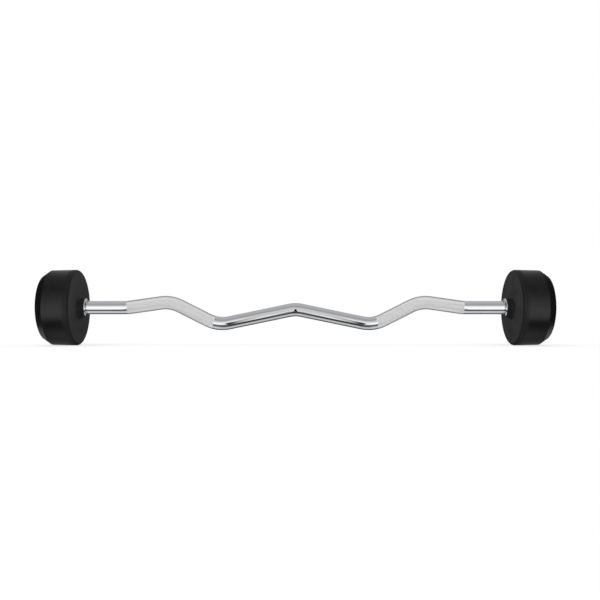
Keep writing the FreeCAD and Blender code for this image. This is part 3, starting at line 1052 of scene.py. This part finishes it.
@dataclass
class CurlBar:
    """The bent bar: a smooth middle, two knurled grips and two smooth ends."""

    chrome: bpy.types.Material
    knurl: bpy.types.Material
    line: CurlCentreline = field(default_factory=CurlCentreline)
    radius: float = 14.0 * MM
    grip_start: float = 172.4 * MM
    grip_end: float = 354.8 * MM
    crest_rise: float = 0.25 * MM
    groove_depth: float = 0.34 * MM
    grooves_around: int = 64
    crest_share: float = 0.42
    helix: float = math.radians(30.0)
    ring_points: int = 128
    ring_step: float = 1.6 * MM
    end_chamfer: float = 1.0 * MM
    bolt_hole_radius: float = 8.05 * MM
    bolt_hole_depth: float = 32.0 * MM
    rod_crease: float = math.radians(40.0)
    end_crease: float = math.radians(30.0)
    grip_crease: float = math.radians(18.0)

    def build(self) -> list[bpy.types.Object]:
        """Build all five pieces of the bar.

        Returns:
            The pieces, dressed and riding on the part's body.
        """
        start = self.line.distance_at(self.grip_start)
        end = self.line.distance_at(self.grip_end)
        pieces = [self.rod("bar_middle", -start, start)]
        pieces.extend(self.plain_end(f"{side.word}_bar_end", side, end) for side in Side)
        for piece in pieces:
            piece.data.materials.append(self.chrome)
        for side in Side:
            band = self.grip(f"{side.word}_grip_knurl", side, start, end)
            band.data.materials.append(self.knurl)
            pieces.append(band)
        for piece in pieces:
            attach(piece, BODY)
            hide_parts("curl_bar")
        return pieces

    def ring(self, draft: MeshDraft, distance: float, radius: float) -> list[int]:
        """Add one ring round the centreline.

        Args:
            draft: The mesh that gets the ring.
            distance: The ring's place along the centreline.
            radius: The ring's radius.

        Returns:
            The numbers of the ring's points.
        """
        station = self.line.station(distance)
        ring = []
        for step in range(self.ring_points):
            arm = station.arm(math.tau * step / self.ring_points)
            ring.append(draft.add_point(station.point + arm * radius, distance))
        return ring

    def sweep(self, draft: MeshDraft, start: float, end: float) -> list[list[int]]:
        """Sweep rings of the bar's radius from one place to another and join them.

        Args:
            draft: The mesh that gets the rings.
            start: The first ring's place along the centreline.
            end: The last ring's place.

        Returns:
            The rings, each as the numbers of its points.
        """
        count = round(abs(end - start) / self.ring_step)
        rings = [
            self.ring(draft, start + (end - start) * step / count, self.radius)
            for step in range(count + 1)
        ]
        for ring, following in zip(rings, rings[1:]):
            draft.bridge(ring, following)
        return rings

    def cap(self, draft: MeshDraft, ring: Sequence[int], distance: float) -> None:
        """Close a ring with a flat face at its place along the centreline."""
        draft.fan(ring, draft.add_point(self.line.station(distance).point.copy(), distance))

    def rod(self, name: str, start: float, end: float) -> bpy.types.Object:
        """Build a plain stretch of the bar.

        Args:
            name: The piece's name.
            start: Where it starts along the centreline.
            end: Where it ends.

        Returns:
            The piece.
        """
        draft = MeshDraft()
        rings = self.sweep(draft, start, end)
        self.cap(draft, rings[0], start)
        self.cap(draft, rings[-1], end)
        return draft.build(name, self.rod_crease)

    def plain_end(self, name: str, side: Side, start: float) -> bpy.types.Object:
        """Build a smooth end, with the chamfer and the bolt hole that the head hides.

        Args:
            name: The piece's name.
            side: The side that it is on.
            start: Where the grip ends along the centreline.

        Returns:
            The piece.
        """
        draft = MeshDraft()
        tip = self.line.half_length
        floor = tip - self.bolt_hole_depth
        rings = self.sweep(draft, side.value * start, side.value * (tip - self.end_chamfer))
        self.cap(draft, rings[0], side.value * start)
        last = rings[-1]
        steps = (
            (tip, self.radius - self.end_chamfer),
            (tip, self.bolt_hole_radius),
            (floor, self.bolt_hole_radius),
        )
        for distance, radius in steps:
            following = self.ring(draft, side.value * distance, radius)
            draft.bridge(last, following)
            last = following
        self.cap(draft, last, side.value * floor)
        return draft.build(name, self.end_crease)

    def knurl_point(
        self, draft: MeshDraft, distance: float, turn: float, radius: float, groove: float
    ) -> int:
        """Add one point of the knurl.

        Args:
            draft: The mesh that gets the point.
            distance: The point's place along the centreline.
            turn: Its angle round the bar.
            radius: Its distance from the centreline.
            groove: How deep in the groove it lies.

        Returns:
            The point's number.
        """
        station = self.line.station(distance)
        arm = station.arm(turn)
        return draft.add_point(station.point + arm * radius, distance, groove, arm)

    def grip(self, name: str, side: Side, start: float, end: float) -> bpy.types.Object:
        """Build a knurled grip: flat-topped diamonds between two crossing sets of helical grooves.

        Args:
            name: The piece's name.
            side: The side that it is on.
            start: Where the band starts along the centreline.
            end: Where it ends.

        Returns:
            The piece.
        """
        draft = MeshDraft()
        around = 2 * self.grooves_around
        half_turn = math.tau / around
        half_pitch = half_turn * self.radius / math.tan(self.helix)
        rows = 2 * round((end - start) / half_pitch / 2)
        half_pitch = (end - start) / rows
        crest = self.radius + self.crest_rise
        floor = crest - self.groove_depth

        def place(row: float) -> float:
            """Find a row's place along the centreline."""
            return side.value * (start + row * half_pitch)

        corners: dict[tuple[int, int], int] = {}
        for row in range(rows + 1):
            edge = row in (0, rows)
            for spot in range(around):
                if edge or (row + spot) % 2 == 0:
                    radius = self.radius if edge else floor
                    corners[row, spot] = self.knurl_point(
                        draft, place(row), spot * half_turn, radius, 0.0 if edge else 1.0)
        for row in range(rows + 1):
            for spot in range(around):
                if (row + spot) % 2 == 0:
                    continue
                after, before = (spot + 1) % around, (spot - 1) % around
                if row in (0, rows):
                    inner = 1 if row == 0 else rows - 1
                    middle = corners[row, spot]
                    tip = corners[inner, spot]
                    draft.faces.append((corners[row, before], middle, tip))
                    draft.faces.append((middle, corners[row, after], tip))
                    continue
                outline = (
                    corners[row - 1, spot], corners[row, after],
                    corners[row + 1, spot], corners[row, before],
                )
                reach = self.crest_share
                top = [
                    self.knurl_point(draft, place(row + ahead), (spot + aside) * half_turn, crest, 0.0)
                    for ahead, aside in ((-reach, 0.0), (0.0, reach), (reach, 0.0), (0.0, -reach))
                ]
                draft.faces.append(tuple(top))
                draft.bridge(outline, top)
        for row in (0, rows):
            rim = [corners[row, spot] for spot in range(around)]
            self.cap(draft, rim, place(row))
        return draft.build(name, self.grip_crease)


@dataclass
class Head:
    """One head: the moulded rubber cover, the chromed collar ring, the end plug and the parts inside."""

    side: Side
    finishes: FinishRack
    inner_face: float = 457.0 * MM
    width: float = 70.8 * MM
    radius: float = 80.0 * MM
    draft_drop: float = 1.25 * MM
    bevel_length: float = 16.1 * MM
    bevel_drop: float = 11.25 * MM
    wall: float = 5.0 * MM
    edge_round: float = 6.0 * MM
    shoulder_round: float = 1.2 * MM
    rim_round: float = 2.4 * MM
    boss_length: float = 11.6 * MM
    hub_radius: float = 17.0 * MM
    boss_tip_radius: float = 20.0 * MM
    boss_root_radius: float = 21.0 * MM
    boss_root_round: float = 6.0 * MM
    boss_tip_round: float = 0.8 * MM
    bond_gap: float = 0.1 * MM
    collar_length: float = 5.8 * MM
    collar_radius: float = 19.7 * MM
    collar_round: float = 2.5 * MM
    collar_nose: float = 4.2 * MM
    bore_radius: float = 14.05 * MM
    plug_radius: float = 27.0 * MM
    plug_hole_radius: float = 27.05 * MM
    plug_sink: float = 0.5 * MM
    plug_round: float = 1.0 * MM
    skirt_radius: float = 24.95 * MM
    skirt_wall: float = 3.0 * MM
    skirt_length: float = 9.0 * MM
    collar_arc_steps: int = 16
    crease: float = math.radians(28.0)

    def to_frame(self, across: float) -> float:
        """Change a distance outward from the head's inner face into a place along X."""
        return self.side.value * (self.inner_face + across)

    def build(self, nodes: dict[str, bpy.types.Object]) -> list[bpy.types.Object]:
        """Build the head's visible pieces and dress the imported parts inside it.

        Args:
            nodes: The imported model's objects by name.

        Returns:
            The new pieces.
        """
        pieces = [
            self.finish(self.cover(), "rubber_cover", "moulded_cover", self.finishes.cover),
            self.finish(self.collar(), "collar_ring", "turned_collar", self.finishes.ring),
            self.finish(self.plug(), "end_plug", "pressed_plug", self.finishes.plug),
        ]
        inside = {
            "iron_core": self.finishes.iron,
            "drive_key": self.finishes.key,
            "end_washer": self.finishes.washer,
            "lock_washer": self.finishes.washer,
            "end_bolt": self.finishes.bolt,
        }
        for part, material in inside.items():
            dress(nodes[f"{self.side.word}_{part}"], material)
        return pieces

    def finish(
        self, shape: TurnedShape, node: str, name: str, material: bpy.types.Material
    ) -> bpy.types.Object:
        """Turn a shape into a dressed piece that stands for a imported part.

        Args:
            shape: The turned shape.
            node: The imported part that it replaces, without its side.
            name: The new piece's name, without its side.
            material: Its material.

        Returns:
            The piece.
        """
        piece = shape.draft(self.to_frame).build(f"{self.side.word}_{name}", self.crease)
        piece.data.materials.append(material)
        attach(piece, BODY)
        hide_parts(f"{self.side.word}_{node}")
        return piece

    def cover(self) -> TurnedShape:
        """Outline the moulded rubber cover, outside and inside.

        Returns:
            The shape to turn.
        """
        shoulder = self.radius - self.draft_drop
        rim = shoulder - self.bevel_drop
        bevel_start = self.width - self.bevel_length
        skin = self.wall - self.bond_gap
        back = self.width - skin
        return TurnedShape((
            Corner(-self.boss_length, self.hub_radius + self.bond_gap),
            Corner(-self.boss_length, self.boss_tip_radius, self.boss_tip_round),
            Corner(0.0, self.boss_root_radius, self.boss_root_round),
            Corner(0.0, self.radius, self.edge_round),
            Corner(bevel_start, shoulder, self.shoulder_round),
            Corner(self.width, rim, self.rim_round),
            Corner(self.width, self.plug_hole_radius),
            Corner(back, self.plug_hole_radius),
            Corner(back, rim - skin),
            Corner(bevel_start - self.wall, shoulder - skin),
            Corner(skin, self.radius - skin),
            Corner(skin, self.hub_radius + self.bond_gap),
        ))

    def collar(self) -> TurnedShape:
        """Outline the collar ring that sits against the boss.

        Returns:
            The shape to turn.
        """
        front = -self.boss_length - self.collar_length
        back = -self.boss_length
        return TurnedShape((
            Corner(front, self.bore_radius),
            Corner(front, self.collar_radius, self.collar_nose),
            Corner(back, self.collar_radius, self.collar_round),
            Corner(back, self.bore_radius),
        ), arc_steps=self.collar_arc_steps)

    def plug(self) -> TurnedShape:
        """Outline the plug that closes the outer face, with its skirt.

        Returns:
            The shape to turn.
        """
        face = self.width - self.plug_sink
        seat = self.width - self.wall
        bore = self.skirt_radius - self.skirt_wall
        return TurnedShape((
            Corner(seat - self.skirt_length, bore),
            Corner(seat - self.skirt_length, self.skirt_radius),
            Corner(seat, self.skirt_radius),
            Corner(seat, self.plug_radius),
            Corner(face, self.plug_radius, self.plug_round),
            Corner(face, 0.0),
            Corner(seat, 0.0),
            Corner(seat, bore),
        ))


def dress(node: bpy.types.Object, material: bpy.types.Material) -> None:
    """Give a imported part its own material."""
    node.data.materials.clear()
    node.data.materials.append(material)


# Studio

# A reach past both ends of the studio's tent, for cards that run its whole length
FAR = 9.0


@dataclass(frozen=True)
class Card:
    """One reflector or flag: a soft-edged band of angles round the bar, cut to a reach along it.

    Angles are in degrees, 0 straight in front and 90 overhead; reaches are in metres, alike on both
    sides. The rise and the fall are the soft edges before the start and past the end, and the fades
    are those of the inner and outer reach. The slant is how far a side edge leans outward for each
    degree upward.
    """

    brightness: float
    start: float
    end: float
    rise: float
    fall: float
    inner: float = -FAR
    inner_fade: float = 0.01
    outer: float = FAR
    outer_fade: float = 0.01
    slant: float = 0.0
    tint: Colour = WHITE


@dataclass
class Studio:
    """Floor, soft light, reflector cards and camera."""

    effects: SharedEffects
    floor_height: float
    floor_half: float = 14.0
    floor_tint: float = 0.95
    floor_white: float = 1.02
    shadow_share: float = 0.35
    tent_radius: float = 1.5
    tent_half: float = 3.2
    tent_sides: int = 96
    tent_dark: float = 0.03
    flag_width: float = 4.0 * MM
    flag_distance: float = 100.0 * MM
    flag_foot: float = -66.0 * MM
    flag_top: float = 10.0 * MM
    ambient: float = 0.84
    key_share: float = 0.16
    key_aim: tuple[float, float, float] = (0.35, 0.45, -0.82)
    key_spread: float = math.radians(60.0)
    view_distance: float = 1.479
    view_height: float = -0.0286
    lens: float = 41.9
    sensor: float = 36.0
    shift: tuple[float, float] = (0.00745, 0.0352)
    nearest: float = 0.01
    farthest: float = 60.0
    cards: tuple[Card, ...] = (
        # Ceiling cloth, deeper overhead than in front
        Card(0.29, 49.0, 152.0, 21.0, 20.0, outer=0.88, outer_fade=0.35, tint=(0.98, 0.97, 1.0)),
        Card(0.49, 82.0, 152.0, 35.0, 20.0, outer=0.88, outer_fade=0.35, tint=(0.98, 0.97, 1.0)),
        # Light box in front, a lamp past its end and a greyer window in its middle
        Card(1.13, -25.0, -5.0, 19.5, 70.0, outer=1.09, outer_fade=0.34),
        Card(2.0, -34.0, -10.0, 12.0, 14.0, 1.5, 0.2, 2.4, 0.4),
        Card(0.65, 1.0, 17.0, 39.0, 34.0, outer=0.188, outer_fade=0.113, slant=0.0032),
        # Dark seams at the box's edge, the grey sill below it and the dark seam at the sill's end
        Card(0.01, -50.0, 3.5, 14.0, 1.5, inner=0.367, inner_fade=0.26, outer=0.297, slant=0.0049),
        Card(0.0, -28.0, -13.0, 3.5, 12.0, 0.268, 0.034, 0.315, 0.027, slant=0.0047),
        Card(0.086, -62.5, -40.0, 28.0, 28.0, 0.228, 0.151, 0.65, 0.104),
        Card(0.0, -63.0, -41.0, 3.0, 4.0, 0.67, 0.03, 0.765, 0.03),
        # Table
        Card(0.67, -81.0, -85.0, 60.0, 29.0, outer=0.86, outer_fade=0.3),
        Card(0.77, -75.0, -107.0, 33.0, 70.0, 0.523, 0.27, 0.86, 0.3),
        # Far ends of the table, low behind
        Card(0.20, -150.0, -118.0, 20.0, 22.0, 0.95, 0.1, 1.15, 0.2),
        Card(0.40, -162.0, -100.0, 8.0, 15.0, 1.6, 0.3, 2.65, 0.4),
        # Grey wall behind
        Card(0.20, 150.0, 190.0, 12.0, 5.0, outer=0.14, outer_fade=0.16, tint=(1.0, 0.98, 1.08)),
        Card(0.03, -190.0, -150.0, 5.0, 12.0, outer=0.45, outer_fade=0.3),
        Card(0.07, 150.0, 190.0, 12.0, 5.0, 1.25, 0.2, 2.6, 0.4),
    )

    def build(self) -> None:
        """Build the floor, the reflector tent, the lights and the camera."""
        self.add_floor()
        self.add_tent()
        self.add_crown_flag()
        self.add_world()
        self.add_key()
        self.add_camera()
        bpy.context.scene.view_settings.view_transform = "Standard"

    def plain_shader(self, desk: NodeDesk, kind: str, colour: Colour, **strength: float) -> Socket:
        """Add a shader of one even colour."""
        return desk.feed(desk.add(kind), Color=solid(colour), **strength).outputs[0]

    def for_backdrop(self, desk: NodeDesk, lighting: Socket, seen: Socket) -> Socket:
        """Give rays that see the backdrop another shader than rays that light the object.

        Args:
            desk: The material's or world's desk.
            lighting: The shader for rays that carry light to the object.
            seen: The shader for camera, glossy and transmission rays.

        Returns:
            The shader for both.
        """
        path = desk.add("ShaderNodeLightPath").outputs
        sight = desk.math("MAXIMUM", path["Is Camera Ray"], path["Is Glossy Ray"])
        sight = desk.math("MAXIMUM", sight, path["Is Transmission Ray"])
        chosen = desk.add("ShaderNodeMixShader")
        for spot, value in enumerate((sight, lighting, seen)):
            desk.give(chosen.inputs[spot], value)
        return chosen.outputs[0]

    def add_floor(self) -> None:
        """Lay the pale floor, white to the eye but for the object's soft shadow."""
        half = self.floor_half
        floor = flat_sheet("studio_floor", [
            Vector((x, y, self.floor_height))
            for x, y in ((-half, -half), (half, -half), (half, half), (-half, half))])
        material, desk = start_material("studio_floor_paper")
        plain = self.plain_shader(desk, "ShaderNodeBsdfDiffuse", grey(self.floor_tint))
        shaded = self.plain_shader(desk, "ShaderNodeBsdfDiffuse", grey(self.shadow_share))
        lift = self.floor_white - self.shadow_share
        glow = self.plain_shader(desk, "ShaderNodeEmission", WHITE, Strength=lift)
        white = desk.add("ShaderNodeAddShader")
        desk.give(white.inputs[0], shaded)
        desk.give(white.inputs[1], glow)
        desk.surface(self.for_backdrop(desk, plain, white.outputs[0]))
        floor.data.materials.append(material)
        floor.visible_glossy = False
        floor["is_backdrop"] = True

    def add_tent(self) -> None:
        """Hang the reflector cards as one tent round the object that only reflections see."""
        draft = MeshDraft()
        ends = (-self.tent_half, self.tent_half)
        rings = [draft.add_wheel(across, self.tent_radius, self.tent_sides, across) for across in ends]
        draft.bridge(*rings)
        for ring, across in zip(rings, ends):
            draft.fan(ring, draft.add_point(Vector((across, 0.0, 0.0)), across))
        tent = draft.build("studio_reflectors", math.pi)
        tent.data.materials.append(self.tent_material())
        self.show_in_reflections_only(tent)

    def add_crown_flag(self) -> None:
        """Hang the small black flag that the crown of the bar mirrors as a dot."""
        half = self.flag_width / 2
        foot, top = self.flag_foot, self.flag_top
        flag = flat_sheet("studio_crown_flag", [
            Vector((x, -self.flag_distance, z))
            for x, z in ((-half, foot), (half, foot), (half, top), (-half, top))])
        material, desk = start_material("studio_flag_cloth")
        desk.surface(self.plain_shader(desk, "ShaderNodeBsdfDiffuse", BLACK))
        flag.data.materials.append(material)
        self.show_in_reflections_only(flag)

    def show_in_reflections_only(self, prop: bpy.types.Object) -> None:
        """Stage a studio prop that reflections see and nothing else does.

        Args:
            prop: The prop.
        """
        for sight in ("camera", "diffuse", "transmission", "volume_scatter", "shadow"):
            setattr(prop, f"visible_{sight}", False)
        prop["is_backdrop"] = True

    def tent_material(self) -> bpy.types.Material:
        """Paint the cards onto the tent by angle and reach.

        Returns:
            The tent's material.
        """
        material, desk = start_material("studio_reflector_cloth")
        material.cycles.emission_sampling = "NONE"
        place = desk.position()
        towards = desk.math("MULTIPLY", desk.axis(place, "Y"), -1.0)
        angle = desk.math("DEGREES", desk.math("ARCTAN2", desk.axis(place, "Z"), towards))
        reach = desk.math("ABSOLUTE", desk.axis(place, "X"))
        colour: object = grey(self.tent_dark)
        for card in self.cards:
            band = desk.place(
                self.effects.window, Value=angle, From=card.start, To=card.end,
                Rise=card.rise, Fall=card.fall)
            leaned = desk.math("SUBTRACT", reach, desk.math("MULTIPLY", angle, card.slant))
            span = desk.place(
                self.effects.window, Value=leaned, From=card.inner, To=card.outer,
                Rise=card.inner_fade, Fall=card.outer_fade)
            paint = tuple(card.brightness * part for part in card.tint)
            colour = desk.blend(desk.math("MULTIPLY", band, span), colour, paint)
        glow = desk.feed(desk.add("ShaderNodeEmission"), Color=colour, Strength=1.0)
        desk.surface(glow.outputs[0])
        return material

    def add_world(self) -> None:
        """Set a white backdrop for what is seen and a pale even light for what is lit."""
        world = bpy.data.worlds.new("studio_surround")
        bpy.context.scene.world = world
        world.use_nodes = True
        desk = NodeDesk(world.node_tree)
        pale = self.plain_shader(desk, "ShaderNodeBackground", WHITE, Strength=self.ambient)
        white = self.plain_shader(desk, "ShaderNodeBackground", WHITE, Strength=1.0)
        desk.surface(self.for_backdrop(desk, pale, white), "ShaderNodeOutputWorld")

    def add_key(self) -> None:
        """Hang one broad soft lamp above and to the left, in front."""
        lamp = bpy.data.lights.new("soft_key", "SUN")
        aim = Vector(self.key_aim).normalized()
        lamp.energy = self.key_share * math.pi / -aim.z
        lamp.angle = self.key_spread
        key = bpy.data.objects.new("soft_key", lamp)
        key.rotation_euler = aim.to_track_quat("-Z", "Y").to_euler()
        key.visible_glossy = False
        bpy.context.scene.collection.objects.link(key)

    def add_camera(self) -> None:
        """Stand the camera level in front, a little below the bar."""
        data = bpy.data.cameras.new("front_camera")
        data.sensor_fit = "HORIZONTAL"
        data.sensor_width = self.sensor
        data.lens = self.lens
        data.shift_x, data.shift_y = self.shift
        data.clip_start = self.nearest
        data.clip_end = self.farthest
        camera = bpy.data.objects.new("front_camera", data)
        camera.location = (0.0, -self.view_distance, self.view_height)
        camera.rotation_euler = (math.pi / 2, 0.0, 0.0)
        bpy.context.scene.collection.objects.link(camera)
        bpy.context.scene.camera = camera


def plain_box() -> list[list[float]]:
    """Give the whole object's box as plain lists of numbers."""
    return [[float(value) for value in corner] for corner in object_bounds()]


def main() -> None:
    """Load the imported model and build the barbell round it, piece by piece."""
    logging.basicConfig(level=logging.INFO, format="%(name)s: %(message)s")
    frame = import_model()
    packed_box = plain_box()
    effects = SharedEffects()
    finishes = FinishRack(effects)
    pieces = CurlBar(finishes.chrome, finishes.knurl).build()
    for side in Side:
        pieces.extend(Head(side, finishes).build(frame["nodes"]))
    for piece in pieces:
        LOG.info("%s: %d points, %d faces", piece.name, len(piece.data.vertices), len(piece.data.polygons))
    Studio(effects, floor_height=packed_box[0][2]).build()


if __name__ == "__main__":
    main()
